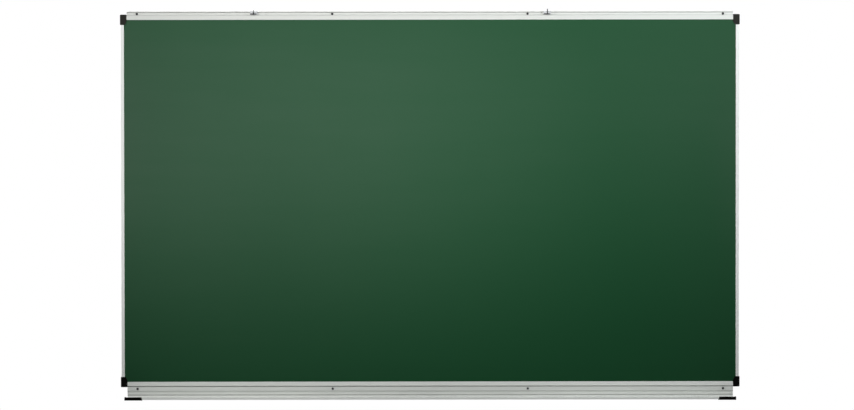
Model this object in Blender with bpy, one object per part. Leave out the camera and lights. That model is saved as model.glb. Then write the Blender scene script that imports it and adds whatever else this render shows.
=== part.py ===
"""School chalkboard: a green steel writing panel in an aluminium frame, with a chalk tray and two map hooks.

Metres, +Z up. The board hangs on a wall, which is the plane y = 0, and its writing face looks along -Y.
The origin is the middle of the top rail's back face. In the sections below, depth is measured from the wall
towards the room, so a depth of d lies at y = -d.
"""

import math

import bmesh
import bpy
from mathutils import Matrix, Vector

# Writing panel: coated steel face, fibre core and steel backing, with glue between them
PANEL_WIDTH = 1.500
PANEL_HEIGHT = 0.900
FACE_SHEET = 0.0005
CORE_BOARD = 0.0070
BACK_SHEET = 0.0005
GLUE_LINE = 0.0003

# Gap kept between pieces that touch
SEAT_GAP = 0.0003

# Frame section: an outer wall with a front lip, a middle web and a rear leg
OUTER_WALL = 0.0015
PANEL_EDGE_GAP = 0.0005
FRONT_LIP = 0.0014
MIDDLE_WEB = 0.0014
REAR_LEG = 0.0014
REAR_CHANNEL = 0.0066
RAIL_FACE = 0.0113
STILE_FACE = 0.0074
LIP_EDGE_RADIUS = 0.0003
RAIL_OUTER_RADIUS = 0.0024

# Flanges on the rails' outer faces
FLANGE_SETBACK = 0.0040
FLANGE_THICKNESS = 0.0018
BEAD_DIAMETER = 0.0024
NECK_HEIGHT = 0.0012
NECK_THICKNESS = 0.0007

# Screws through the flanges
SCREW_COUNT = 4
SCREW_END_INSET = 0.0246
SCREW_HEAD_DIAMETER = 0.0056
SCREW_HEAD_HEIGHT = 0.0022
SCREW_RIM_HEIGHT = 0.0007
SCREW_SHANK_DIAMETER = 0.0030
SCREW_TIP = 0.0020
SCREW_HEAD_MARGIN = 0.0002
RECESS_SPAN = 0.0036
RECESS_WIDTH = 0.0009
RECESS_DEPTH = 0.0012

# Corner caps
CAP_SIDE_PROUD = 0.0019
CAP_END_PROUD = 0.0016
CAP_FRONT_PROUD = 0.0006
CAP_ARM_ALONG_RAIL = 0.0138
CAP_ARM_ALONG_STILE = 0.0233
CAP_WEB_PAST_ARM = 0.0012
CAP_WEB_PAST_STILE = 0.0025
CAP_CORNER_RADIUS = 0.0025
CAP_EDGE_RADIUS = 0.0012
TONGUE_LENGTH = 0.0180
CORNER_SHANK_DIAMETER = 0.0026

# Wall brackets
BRACKET_SHEET = 0.0012
BRACKET_TAB_WIDTH = 0.0140
BRACKET_PLATE_WIDTH = 0.0400
WALL_HOLE_DIAMETER = 0.0042
WALL_HOLE_SPACING = 0.0260

# Chalk tray, from its top edge down to the shelf and out to the lip
TRAY_GAP = 0.0008
TRAY_WALL = 0.0036
TRAY_LAND = 0.0098
TRAY_SLOPE = 0.0044
TRAY_RIB = 0.0049
TRAY_STEP = 0.0024
TRAY_FILLET = 0.0048
TRAY_SLOPE_RECESS = 0.0018
TRAY_STEP_RECESS = 0.0008
TRAY_FLOOR = 0.0018
TRAY_SHELF = 0.0438
TRAY_LIP_HEIGHT = 0.0050
TRAY_LIP_THICKNESS = 0.0016

# Tray end caps
TRAY_CAP_LENGTH = 0.0430
TRAY_CAP_WALL = 0.0010
TRAY_CAP_END = 0.0020
TRAY_CAP_GRIP = 0.0120
TRAY_CAP_SLANT = 0.0022

# Map hooks
CLIP_WIDTH = 0.0180
CLIP_SHEET = 0.0008
CLIP_LEG_GAP = 0.0012
FOOT_WIDTH = 0.0150
FOOT_HEIGHT = 0.0030
FOOT_THICKNESS = 0.0020
FOOT_EDGE_RADIUS = 0.0006
PRONG_DIAMETER = 0.0024
PRONG_REACH = 0.0080
PRONG_BEND_RADIUS = 0.0032
LEFT_PRONG_HEIGHT = 0.0084
RIGHT_PRONG_HEIGHT = 0.0114
PRONG_OFF_FOOT_MIDDLE = 0.0011
LEFT_HOOK_FROM_SCREW = 0.1909
RIGHT_HOOK_FROM_SCREW = 0.0478

# How finely round shapes are divided
ARC_STEPS = 6
BEAD_STEPS = 14
ROUND_SIDES = 16
DOME_STEPS = 4
WIRE_RESOLUTION = 4
SHARP_ANGLE = math.radians(35)
MERGE_DISTANCE = 0.000002

# Frame sizes that follow
PANEL_THICKNESS = FACE_SHEET + CORE_BOARD + BACK_SHEET + 2 * GLUE_LINE
PANEL_SLOT = PANEL_THICKNESS + 2 * SEAT_GAP
CHANNEL_FRONT = REAR_LEG + REAR_CHANNEL
SLOT_BACK = CHANNEL_FRONT + MIDDLE_WEB
SLOT_FRONT = SLOT_BACK + PANEL_SLOT
FRAME_DEPTH = SLOT_FRONT + FRONT_LIP
FRAME_WIDTH = PANEL_WIDTH + 2 * (OUTER_WALL + PANEL_EDGE_GAP)
FRAME_HEIGHT = PANEL_HEIGHT + 2 * (OUTER_WALL + PANEL_EDGE_GAP)
FRAME_TOP = RAIL_FACE / 2
FRAME_BOTTOM = FRAME_TOP - FRAME_HEIGHT
FRAME_MIDDLE = (FRAME_TOP + FRAME_BOTTOM) / 2
RAIL_LENGTH = FRAME_WIDTH - 2 * (CAP_ARM_ALONG_RAIL + SEAT_GAP)
STILE_LENGTH = FRAME_HEIGHT - 2 * (CAP_ARM_ALONG_STILE + SEAT_GAP)

# Flange sizes that follow: the flat of the top flange takes a screw head below the neck and the bead
FLANGE_FRONT = FRAME_DEPTH - FLANGE_SETBACK
FLANGE_BACK = FLANGE_FRONT - FLANGE_THICKNESS
FLANGE_CENTRE = (FLANGE_FRONT + FLANGE_BACK) / 2
FLANGE_FLAT = SCREW_HEAD_DIAMETER + 2 * SCREW_HEAD_MARGIN
TOP_FLANGE_RISE = FLANGE_FLAT + NECK_HEIGHT + BEAD_DIAMETER
BEAD_RADIUS = BEAD_DIAMETER / 2
BEAD_HEIGHT = TOP_FLANGE_RISE - BEAD_RADIUS
NECK_FRONT = FLANGE_BACK + NECK_THICKNESS
BOTTOM_FLANGE_DROP = TRAY_GAP + TRAY_LAND
TOP_SCREW_HEIGHT = FLANGE_FLAT / 2
TRAY_SCREW_DROP = TRAY_GAP + TRAY_LAND / 2
SCREW_PITCH = (RAIL_LENGTH - 2 * SCREW_END_INSET) / (SCREW_COUNT - 1)
SCREW_PLACES = [SCREW_END_INSET - RAIL_LENGTH / 2 + SCREW_PITCH * index for index in range(SCREW_COUNT)]

# Tray sizes that follow, as heights below the frame
TRAY_BACK = FLANGE_FRONT + SEAT_GAP
TRAY_FRONT = TRAY_BACK + TRAY_WALL
TRAY_RIB_FRONT = TRAY_FRONT - TRAY_SLOPE_RECESS
TRAY_STEP_FRONT = TRAY_RIB_FRONT - TRAY_STEP_RECESS
TRAY_LIP_FRONT = TRAY_FRONT + TRAY_SHELF
TRAY_LIP_BACK = TRAY_LIP_FRONT - TRAY_LIP_THICKNESS
LAND_BOTTOM = -TRAY_GAP - TRAY_LAND
SLOPE_BOTTOM = LAND_BOTTOM - TRAY_SLOPE
RIB_BOTTOM = SLOPE_BOTTOM - TRAY_RIB
STEP_BOTTOM = RIB_BOTTOM - TRAY_STEP
SHELF_TOP = STEP_BOTTOM - TRAY_FILLET
SHELF_BOTTOM = SHELF_TOP - TRAY_FLOOR
TRAY_LIP_TOP = SHELF_BOTTOM + TRAY_LIP_HEIGHT
TRAY_LENGTH = RAIL_LENGTH

# Hook sizes that follow, around the bead
CLIP_INNER_RADIUS = BEAD_RADIUS + SEAT_GAP
CLIP_OUTER_RADIUS = CLIP_INNER_RADIUS + CLIP_SHEET
CLIP_INNER_HALF = FLANGE_THICKNESS / 2 + SEAT_GAP
CLIP_OUTER_HALF = CLIP_INNER_HALF + CLIP_SHEET
CLIP_LEG_END = CLIP_LEG_GAP - BEAD_HEIGHT
FOOT_BACK = CLIP_OUTER_HALF + SEAT_GAP
FOOT_FRONT = FOOT_BACK + FOOT_THICKNESS
FOOT_BOTTOM = CLIP_LEG_END
FOOT_TOP = FOOT_BOTTOM + FOOT_HEIGHT
FOOT_MIDDLE = (FOOT_TOP + FOOT_BOTTOM) / 2


def clear_scene():
    """Removes every object that is in the scene."""
    for item in list(bpy.data.objects):
        bpy.data.objects.remove(item, do_unlink=True)


def make_material(name, colour, roughness, metallic):
    """Makes a plain finish; the colour is linear red, green and blue."""
    material = bpy.data.materials.new(name)
    material.use_nodes = True
    shader = material.node_tree.nodes["Principled BSDF"]
    shader.inputs["Base Color"].default_value = (*colour, 1.0)
    shader.inputs["Roughness"].default_value = roughness
    shader.inputs["Metallic"].default_value = metallic
    return material


def board_green():
    """Matt green coating of the writing sheet."""
    return make_material("board_green", (0.027, 0.080, 0.042), 0.55, 0.0)


def fibre_core():
    """Pressed fibre of the panel's core."""
    return make_material("fibre_core", (0.36, 0.26, 0.16), 0.9, 0.0)


def zinc_sheet():
    """Zinc-coated steel of the backing, the brackets and the hook clips."""
    return make_material("zinc_sheet", (0.55, 0.56, 0.57), 0.45, 0.9)


def silver_anodised():
    """Silver anodised aluminium of the frame and the tray."""
    return make_material("silver_anodised", (0.72, 0.72, 0.71), 0.4, 0.9)


def black_plastic():
    """Black moulded plastic of the caps."""
    return make_material("black_plastic", (0.012, 0.012, 0.013), 0.42, 0.0)


def screw_steel():
    """Dark steel of the screws."""
    return make_material("screw_steel", (0.045, 0.045, 0.047), 0.4, 1.0)


def dark_steel():
    """Dark steel of the hook prongs."""
    return make_material("dark_steel", (0.075, 0.075, 0.078), 0.4, 0.9)


def make_empty(name, location):
    """Makes a guide point that pieces hang from."""
    empty = bpy.data.objects.new(name, None)
    empty.location = location
    bpy.context.scene.collection.objects.link(empty)
    return empty


def object_from_bmesh(name, shape, material=None, parent=None, location=(0.0, 0.0, 0.0)):
    """Turns a closed shape into a named object, with its faces turned outwards."""
    bmesh.ops.recalc_face_normals(shape, faces=shape.faces)
    mesh = bpy.data.meshes.new(name)
    shape.to_mesh(mesh)
    shape.free()
    return object_from_mesh(name, mesh, material, parent, location)


def object_from_mesh(name, mesh, material=None, parent=None, location=(0.0, 0.0, 0.0)):
    """Links a mesh into the scene as a named object."""
    if material is not None and not mesh.materials:
        mesh.materials.append(material)
    item = bpy.data.objects.new(name, mesh)
    item.location = location
    item.parent = parent
    bpy.context.scene.collection.objects.link(item)
    return item


def combine(target, tool, operation):
    """Joins the tool to the target, or cuts it out, and then removes the tool."""
    modifier = target.modifiers.new(operation.lower(), "BOOLEAN")
    modifier.operation = operation
    modifier.solver = "EXACT"
    modifier.object = tool
    bpy.context.view_layer.update()
    depsgraph = bpy.context.evaluated_depsgraph_get()
    mesh = bpy.data.meshes.new_from_object(target.evaluated_get(depsgraph))
    target.modifiers.clear()
    target.data = mesh
    bpy.data.objects.remove(tool, do_unlink=True)


def shade_round(item):
    """Shades a piece smooth, with its corners kept sharp."""
    item.data.shade_smooth()
    item.data.set_sharp_from_angle(angle=SHARP_ANGLE)


def arc_points(centre, radius, start, end, steps):
    """Points on an arc, with angles in radians from the first axis towards the second."""
    angles = [start + (end - start) * step / steps for step in range(steps + 1)]
    return [(centre[0] + radius * math.cos(a), centre[1] + radius * math.sin(a)) for a in angles]


def rounded_outline(corners):
    """Outline through corners given as (first, second, radius); a radius above zero rounds its corner."""
    points = []
    for index, (first, second, radius) in enumerate(corners):
        corner = Vector((first, second))
        if radius <= 0.0:
            points.append((first, second))
            continue
        before = (Vector(corners[index - 1][:2]) - corner).normalized()
        after = (Vector(corners[(index + 1) % len(corners)][:2]) - corner).normalized()
        half_angle = before.angle(after) / 2
        centre = corner + (before + after).normalized() * radius / math.sin(half_angle)
        start = corner + before * radius / math.tan(half_angle) - centre
        sweep = math.copysign(math.pi - 2 * half_angle, after.cross(before))
        start_angle = math.atan2(start.y, start.x)
        points += arc_points(centre, radius, start_angle, start_angle + sweep, ARC_STEPS)
    return points


def prism(outline, placed, start, end):
    """Closed bar with the given outline; placed(first, second, along) gives each point's position."""
    shape = bmesh.new()
    near = [shape.verts.new(placed(first, second, start)) for first, second in outline]
    far = [shape.verts.new(placed(first, second, end)) for first, second in outline]
    shape.faces.new(near)
    shape.faces.new(far)
    for index in range(len(outline)):
        after = (index + 1) % len(outline)
        shape.faces.new((near[index], near[after], far[after], far[index]))
    return shape


def along_x(depth, height, along):
    """Place of a section point on a bar that runs along X."""
    return (along, -depth, height)


def box(low, high):
    """Closed box between two corners."""
    shape = bmesh.new()
    size = [high[axis] - low[axis] for axis in range(3)]
    middle = [(high[axis] + low[axis]) / 2 for axis in range(3)]
    bmesh.ops.create_cube(shape, size=1.0)
    bmesh.ops.scale(shape, vec=size, verts=shape.verts)
    bmesh.ops.translate(shape, vec=middle, verts=shape.verts)
    return shape


def ordered_box(corner_a, corner_b):
    """Closed box between two opposite corners, given in any order."""
    low = [min(pair) for pair in zip(corner_a, corner_b)]
    high = [max(pair) for pair in zip(corner_a, corner_b)]
    return box(low, high)


def depth_holes(places, diameter, depth_from, depth_to):
    """Round cutters along Y at the given (x, z) places."""
    shape = bmesh.new()
    length = depth_to - depth_from
    turn = Matrix.Rotation(math.pi / 2, 4, "X")
    for x, z in places:
        centre = Matrix.Translation((x, -(depth_from + depth_to) / 2, z))
        bmesh.ops.create_cone(
            shape, cap_ends=True, segments=ROUND_SIDES, radius1=diameter / 2, radius2=diameter / 2,
            depth=length, matrix=centre @ turn,
        )
    return object_from_bmesh("hole_cutter", shape)


def turned(profile):
    """Closed round solid from (radius, height) points, both ends on the axis, turned about Z."""
    shape = bmesh.new()
    verts = [shape.verts.new((radius, 0.0, height)) for radius, height in profile]
    edges = [shape.edges.new(pair) for pair in zip(verts, verts[1:])]
    bmesh.ops.spin(
        shape, geom=verts + edges, cent=(0.0, 0.0, 0.0), axis=(0.0, 0.0, 1.0), angle=2 * math.pi, steps=ROUND_SIDES,
    )
    bmesh.ops.remove_doubles(shape, verts=shape.verts, dist=MERGE_DISTANCE)
    return shape


def panel_layer(name, back, thickness, material, parent):
    """One sheet of the writing panel, whose back lies at the given depth."""
    half_width = PANEL_WIDTH / 2
    half_height = PANEL_HEIGHT / 2
    shape = box((-half_width, -thickness / 2, -half_height), (half_width, thickness / 2, half_height))
    return object_from_bmesh(name, shape, material, parent, (0.0, -(back + thickness / 2), FRAME_MIDDLE))


def make_panel(backing, parent):
    """Backing, core and green writing sheet, one in front of the other."""
    back_sheet_back = SLOT_BACK + SEAT_GAP
    core_back = back_sheet_back + BACK_SHEET + GLUE_LINE
    face_back = core_back + CORE_BOARD + GLUE_LINE
    panel_layer("back_sheet", back_sheet_back, BACK_SHEET, backing, parent)
    panel_layer("core_board", core_back, CORE_BOARD, fibre_core(), parent)
    panel_layer("face_sheet", face_back, FACE_SHEET, board_green(), parent)


def frame_legs(face_width, outer_radius):
    """Corners of the frame section from its outer front edge round to its outer back edge, as (depth, inset)."""
    return [
        (FRAME_DEPTH, 0.0, outer_radius),
        (FRAME_DEPTH, face_width, LIP_EDGE_RADIUS),
        (SLOT_FRONT, face_width, 0.0),
        (SLOT_FRONT, OUTER_WALL, 0.0),
        (SLOT_BACK, OUTER_WALL, 0.0),
        (SLOT_BACK, face_width, 0.0),
        (CHANNEL_FRONT, face_width, 0.0),
        (CHANNEL_FRONT, OUTER_WALL, 0.0),
        (REAR_LEG, OUTER_WALL, 0.0),
        (REAR_LEG, face_width, 0.0),
        (0.0, face_width, 0.0),
        (0.0, 0.0, 0.0),
    ]


def beaded_flange():
    """Flange outline with a neck and a round bead, from its back foot to its front foot, as (depth, inset)."""
    back_lean = math.asin(FLANGE_THICKNESS / 2 / BEAD_RADIUS)
    neck_lean = math.asin((NECK_FRONT - FLANGE_CENTRE) / BEAD_RADIUS)
    bead_centre = (FLANGE_CENTRE, -BEAD_HEIGHT)
    start = math.pi / 2 + back_lean
    end = math.pi / 2 - neck_lean + 2 * math.pi
    bead = arc_points(bead_centre, BEAD_RADIUS, start, end, BEAD_STEPS)
    return [
        (FLANGE_BACK, 0.0),
        *bead,
        (NECK_FRONT, -FLANGE_FLAT),
        (FLANGE_FRONT, -FLANGE_FLAT),
        (FLANGE_FRONT, 0.0),
    ]


def plain_flange():
    """Flange outline with a square end, from its back foot to its front foot, as (depth, inset)."""
    return [
        (FLANGE_BACK, 0.0),
        (FLANGE_BACK, -BOTTOM_FLANGE_DROP),
        (FLANGE_FRONT, -BOTTOM_FLANGE_DROP),
        (FLANGE_FRONT, 0.0),
    ]


def corner_screw_place(side, end):
    """Place of a corner screw on the back, as (x, z), for a side of -1 or 1 and an end of -1 or 1."""
    inset = CAP_ARM_ALONG_RAIL + SEAT_GAP + TONGUE_LENGTH / 2
    x = side * (FRAME_WIDTH / 2 - inset)
    drop = (OUTER_WALL + RAIL_FACE) / 2
    z = FRAME_TOP - drop if end > 0 else FRAME_BOTTOM + drop
    return x, z


def countersinks(end):
    """Cutters for the two countersunk holes in the back of one rail."""
    shape = bmesh.new()
    turn = Matrix.Rotation(math.pi / 2, 4, "X")
    mouth = SCREW_HEAD_DIAMETER / 2 + SEAT_GAP
    throat = CORNER_SHANK_DIAMETER / 2 + SEAT_GAP
    over = REAR_LEG / 2
    slope = (mouth - throat) / REAR_LEG
    for side in (-1, 1):
        x, z = corner_screw_place(side, end)
        bmesh.ops.create_cone(
            shape, cap_ends=True, segments=ROUND_SIDES, radius1=mouth + slope * over, radius2=throat - slope * over,
            depth=REAR_LEG + 2 * over, matrix=Matrix.Translation((x, -REAR_LEG / 2, z)) @ turn,
        )
    return object_from_bmesh("countersink_cutter", shape)


def make_rail(name, end, flange, hole_height, material, parent):
    """A rail along the top (end 1) or the bottom (end -1) of the frame, with its screw holes."""
    edge = FRAME_TOP if end > 0 else FRAME_BOTTOM
    section = rounded_outline(frame_legs(RAIL_FACE, RAIL_OUTER_RADIUS)) + flange
    outline = [(depth, edge - end * inset) for depth, inset in section]
    shape = prism(outline, along_x, -RAIL_LENGTH / 2, RAIL_LENGTH / 2)
    rail = object_from_bmesh(name, shape, material, parent)
    places = [(x, hole_height) for x in SCREW_PLACES]
    hole_diameter = SCREW_SHANK_DIAMETER + 2 * SEAT_GAP
    over = FLANGE_THICKNESS
    combine(rail, depth_holes(places, hole_diameter, FLANGE_BACK - over, FLANGE_FRONT + over), "DIFFERENCE")
    combine(rail, countersinks(end), "DIFFERENCE")
    shade_round(rail)


def make_stile(name, side, material, parent):
    """An upright of the frame, on the left (side -1) or the right (side 1)."""
    outline = rounded_outline(frame_legs(STILE_FACE, LIP_EDGE_RADIUS))

    def upright(depth, inset, along):
        """Place of a section point on a bar that runs along Z."""
        return (side * (FRAME_WIDTH / 2 - inset), -depth, along)

    shape = prism(outline, upright, FRAME_MIDDLE - STILE_LENGTH / 2, FRAME_MIDDLE + STILE_LENGTH / 2)
    stile = object_from_bmesh(name, shape, material, parent)
    shade_round(stile)


def cap_outline():
    """Front outline of a corner cap, as distances in from the frame's side and from its top or bottom."""
    web_top = RAIL_FACE + SEAT_GAP
    corners = [
        (-CAP_SIDE_PROUD, -CAP_END_PROUD, CAP_CORNER_RADIUS),
        (CAP_ARM_ALONG_RAIL, -CAP_END_PROUD, CAP_EDGE_RADIUS),
        (CAP_ARM_ALONG_RAIL, web_top, 0.0),
        (CAP_ARM_ALONG_RAIL + CAP_WEB_PAST_ARM, web_top, 0.0),
        (STILE_FACE + CAP_WEB_PAST_STILE, CAP_ARM_ALONG_STILE, 0.0),
        (-CAP_SIDE_PROUD, CAP_ARM_ALONG_STILE, CAP_EDGE_RADIUS),
    ]
    return rounded_outline(corners)


def make_corner_cap(name, side, end, material, parent):
    """A corner cap with a slot for the panel's corner and a tongue into the rail and the stile."""
    edge = FRAME_TOP if end > 0 else FRAME_BOTTOM

    def placed(inset, drop, depth):
        """Place of a point of this corner."""
        return (side * (FRAME_WIDTH / 2 - inset), -depth, edge - end * drop)

    cap = object_from_bmesh(name, prism(cap_outline(), placed, 0.0, FRAME_DEPTH + CAP_FRONT_PROUD), material, parent)
    tongue_back = REAR_LEG + SEAT_GAP
    tongue_front = CHANNEL_FRONT - SEAT_GAP
    root = OUTER_WALL + SEAT_GAP
    rail_tongue = ordered_box(
        placed(root, root, tongue_back),
        placed(CAP_ARM_ALONG_RAIL + TONGUE_LENGTH, RAIL_FACE - SEAT_GAP, tongue_front),
    )
    stile_tongue = ordered_box(
        placed(root, root, tongue_back),
        placed(STILE_FACE - SEAT_GAP, CAP_ARM_ALONG_STILE + TONGUE_LENGTH, tongue_front),
    )
    combine(cap, object_from_bmesh("rail_tongue", rail_tongue), "UNION")
    combine(cap, object_from_bmesh("stile_tongue", stile_tongue), "UNION")
    past = CAP_ARM_ALONG_RAIL + CAP_ARM_ALONG_STILE
    slot = ordered_box(placed(OUTER_WALL, OUTER_WALL, SLOT_BACK), placed(past, past, SLOT_FRONT))
    combine(cap, object_from_bmesh("panel_slot", slot), "DIFFERENCE")
    hole_diameter = CORNER_SHANK_DIAMETER + 2 * SEAT_GAP
    hole = depth_holes([corner_screw_place(side, end)], hole_diameter, 0.0, SLOT_BACK)
    combine(cap, hole, "DIFFERENCE")
    shade_round(cap)


def recess_cutter(height):
    """Cross-shaped cutter whose floor lies RECESS_DEPTH below the given height."""
    half_span = RECESS_SPAN / 2
    half_width = RECESS_WIDTH / 2
    low = height - RECESS_DEPTH
    high = height + RECESS_DEPTH
    cross = object_from_bmesh("recess_bar", box((-half_span, -half_width, low), (half_span, half_width, high)))
    bar = object_from_bmesh("recess_cross", box((-half_width, -half_span, low), (half_width, half_span, high)))
    combine(cross, bar, "UNION")
    return cross


def pan_screw_mesh(length, material):
    """Pan-head screw along Z: the head's seat is at zero and the shank runs down to minus the length."""
    head_radius = SCREW_HEAD_DIAMETER / 2
    dome = SCREW_HEAD_HEIGHT - SCREW_RIM_HEIGHT
    shank_radius = SCREW_SHANK_DIAMETER / 2
    profile = []
    for step in range(DOME_STEPS + 1):
        angle = math.pi / 2 * (1 - step / DOME_STEPS)
        profile.append((head_radius * math.cos(angle), SCREW_RIM_HEIGHT + dome * math.sin(angle)))
    profile[0] = (0.0, SCREW_HEAD_HEIGHT)
    profile += [(head_radius, 0.0), (shank_radius, 0.0), (shank_radius, SCREW_TIP / 2 - length), (0.0, -length)]
    screw = object_from_bmesh("pan_screw", turned(profile), material)
    combine(screw, recess_cutter(SCREW_HEAD_HEIGHT), "DIFFERENCE")
    shade_round(screw)
    mesh = screw.data
    bpy.data.objects.remove(screw, do_unlink=True)
    return mesh


def flat_screw_mesh(material):
    """Countersunk screw along Z: the flat of its head is at zero and the shank runs down."""
    head_radius = SCREW_HEAD_DIAMETER / 2
    shank_radius = CORNER_SHANK_DIAMETER / 2
    length = REAR_LEG + REAR_CHANNEL - 2 * SEAT_GAP
    profile = [
        (0.0, 0.0),
        (head_radius, 0.0),
        (shank_radius, -REAR_LEG),
        (shank_radius, SCREW_TIP / 2 - length),
        (0.0, -length),
    ]
    screw = object_from_bmesh("flat_screw", turned(profile), material)
    combine(screw, recess_cutter(0.0), "DIFFERENCE")
    shade_round(screw)
    mesh = screw.data
    bpy.data.objects.remove(screw, do_unlink=True)
    return mesh


def place_screw(name, mesh, place, depth, turn, parent):
    """Puts one screw at an (x, z) place, with its head's seat at the given depth."""
    screw = object_from_mesh(name, mesh, None, parent, (place[0], -depth, place[1]))
    screw.rotation_euler = (turn, 0.0, 0.0)


def make_screws(parent):
    """Top screws, tray screws and corner screws, each kind from one mesh."""
    steel = screw_steel()
    head_out = math.pi / 2
    head_back = -math.pi / 2
    top_length = SEAT_GAP + FLANGE_THICKNESS + SEAT_GAP + BRACKET_SHEET + SCREW_TIP
    tray_length = SEAT_GAP + TRAY_WALL + SEAT_GAP + FLANGE_THICKNESS + SCREW_TIP
    top_mesh = pan_screw_mesh(top_length, steel)
    tray_mesh = pan_screw_mesh(tray_length, steel)
    for number, x in enumerate(SCREW_PLACES, start=1):
        top_place = (x, FRAME_TOP + TOP_SCREW_HEIGHT)
        tray_place = (x, FRAME_BOTTOM - TRAY_SCREW_DROP)
        place_screw(f"top_screw_{number}", top_mesh, top_place, FLANGE_FRONT + SEAT_GAP, head_out, parent)
        place_screw(f"tray_screw_{number}", tray_mesh, tray_place, TRAY_FRONT + SEAT_GAP, head_out, parent)
    corner_mesh = flat_screw_mesh(steel)
    for end_name, end in (("top", 1), ("bottom", -1)):
        for side_name, side in (("left", -1), ("right", 1)):
            name = f"corner_screw_{end_name}_{side_name}"
            place_screw(name, corner_mesh, corner_screw_place(side, end), 0.0, head_back, parent)


def make_bracket(name, x, material, parent):
    """A wall bracket: a plate on the wall, a web over the frame and a tab behind the top flange."""
    bottom = FRAME_TOP + SEAT_GAP
    web_top = bottom + BRACKET_SHEET
    tab_front = FLANGE_BACK - SEAT_GAP
    tab_back = tab_front - BRACKET_SHEET
    tab_top = FRAME_TOP + FLANGE_FLAT - SEAT_GAP
    plate_top = FRAME_TOP + TOP_FLANGE_RISE
    section = [
        (0.0, bottom),
        (tab_front, bottom),
        (tab_front, tab_top),
        (tab_back, tab_top),
        (tab_back, web_top),
        (BRACKET_SHEET, web_top),
        (BRACKET_SHEET, plate_top),
        (0.0, plate_top),
    ]
    half_tab = BRACKET_TAB_WIDTH / 2
    half_plate = BRACKET_PLATE_WIDTH / 2
    bracket = object_from_bmesh(name, prism(section, along_x, x - half_tab, x + half_tab), material, parent)
    plate = box((x - half_plate, -BRACKET_SHEET, bottom), (x + half_plate, 0.0, plate_top))
    combine(bracket, object_from_bmesh("wall_plate", plate), "UNION")
    screw_place = (x, FRAME_TOP + TOP_SCREW_HEIGHT)
    screw_hole = SCREW_SHANK_DIAMETER + 2 * SEAT_GAP
    hole_end = tab_back - SCREW_TIP - SEAT_GAP
    combine(bracket, depth_holes([screw_place], screw_hole, hole_end, FLANGE_FRONT), "DIFFERENCE")
    hole_height = (web_top + plate_top) / 2
    wall_places = [(x - WALL_HOLE_SPACING / 2, hole_height), (x + WALL_HOLE_SPACING / 2, hole_height)]
    wall_holes = depth_holes(wall_places, WALL_HOLE_DIAMETER, -BRACKET_SHEET, 2 * BRACKET_SHEET)
    combine(bracket, wall_holes, "DIFFERENCE")
    shade_round(bracket)


def tray_outline():
    """Section of the chalk tray, as depth and height below the frame."""
    fillet_centre = (TRAY_STEP_FRONT + TRAY_FILLET, STEP_BOTTOM)
    fillet = arc_points(fillet_centre, TRAY_FILLET, math.pi, 1.5 * math.pi, ARC_STEPS)
    lip_centre = (TRAY_LIP_FRONT - TRAY_LIP_THICKNESS / 2, TRAY_LIP_TOP - TRAY_LIP_THICKNESS / 2)
    lip = arc_points(lip_centre, TRAY_LIP_THICKNESS / 2, math.pi, 0.0, ARC_STEPS)
    return [
        (TRAY_BACK, -TRAY_GAP),
        (TRAY_FRONT, -TRAY_GAP),
        (TRAY_FRONT, LAND_BOTTOM),
        (TRAY_RIB_FRONT, SLOPE_BOTTOM),
        (TRAY_RIB_FRONT, RIB_BOTTOM),
        (TRAY_STEP_FRONT, RIB_BOTTOM - TRAY_STEP_RECESS),
        *fillet,
        (TRAY_LIP_BACK, SHELF_TOP),
        *lip,
        (TRAY_LIP_FRONT, SHELF_BOTTOM),
        (TRAY_BACK, SHELF_BOTTOM),
    ]


def make_tray(material, parent):
    """The chalk tray, with its holes for the tray screws."""
    outline = [(depth, FRAME_BOTTOM + height) for depth, height in tray_outline()]
    shape = prism(outline, along_x, -TRAY_LENGTH / 2, TRAY_LENGTH / 2)
    tray = object_from_bmesh("chalk_tray", shape, material, parent)
    places = [(x, FRAME_BOTTOM - TRAY_SCREW_DROP) for x in SCREW_PLACES]
    hole_diameter = SCREW_SHANK_DIAMETER + 2 * SEAT_GAP
    combine(tray, depth_holes(places, hole_diameter, TRAY_BACK - TRAY_WALL, TRAY_FRONT + TRAY_WALL), "DIFFERENCE")
    shade_round(tray)


def tray_cap_outline():
    """Section of a tray cap's sleeve, which grips the lip, as depth and height below the frame."""
    front = TRAY_LIP_FRONT + SEAT_GAP
    back = TRAY_LIP_BACK - SEAT_GAP
    top = TRAY_LIP_TOP + SEAT_GAP
    bottom = SHELF_BOTTOM - SEAT_GAP
    grip = TRAY_LIP_FRONT - TRAY_CAP_GRIP
    return [
        (front + TRAY_CAP_WALL, top + TRAY_CAP_WALL),
        (back - TRAY_CAP_WALL, top + TRAY_CAP_WALL),
        (back - TRAY_CAP_WALL, SHELF_TOP + SEAT_GAP),
        (back, SHELF_TOP + SEAT_GAP),
        (back, top),
        (front, top),
        (front, bottom),
        (grip, bottom),
        (grip, bottom - TRAY_CAP_WALL),
        (front + TRAY_CAP_WALL, bottom - TRAY_CAP_WALL),
    ]


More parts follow.
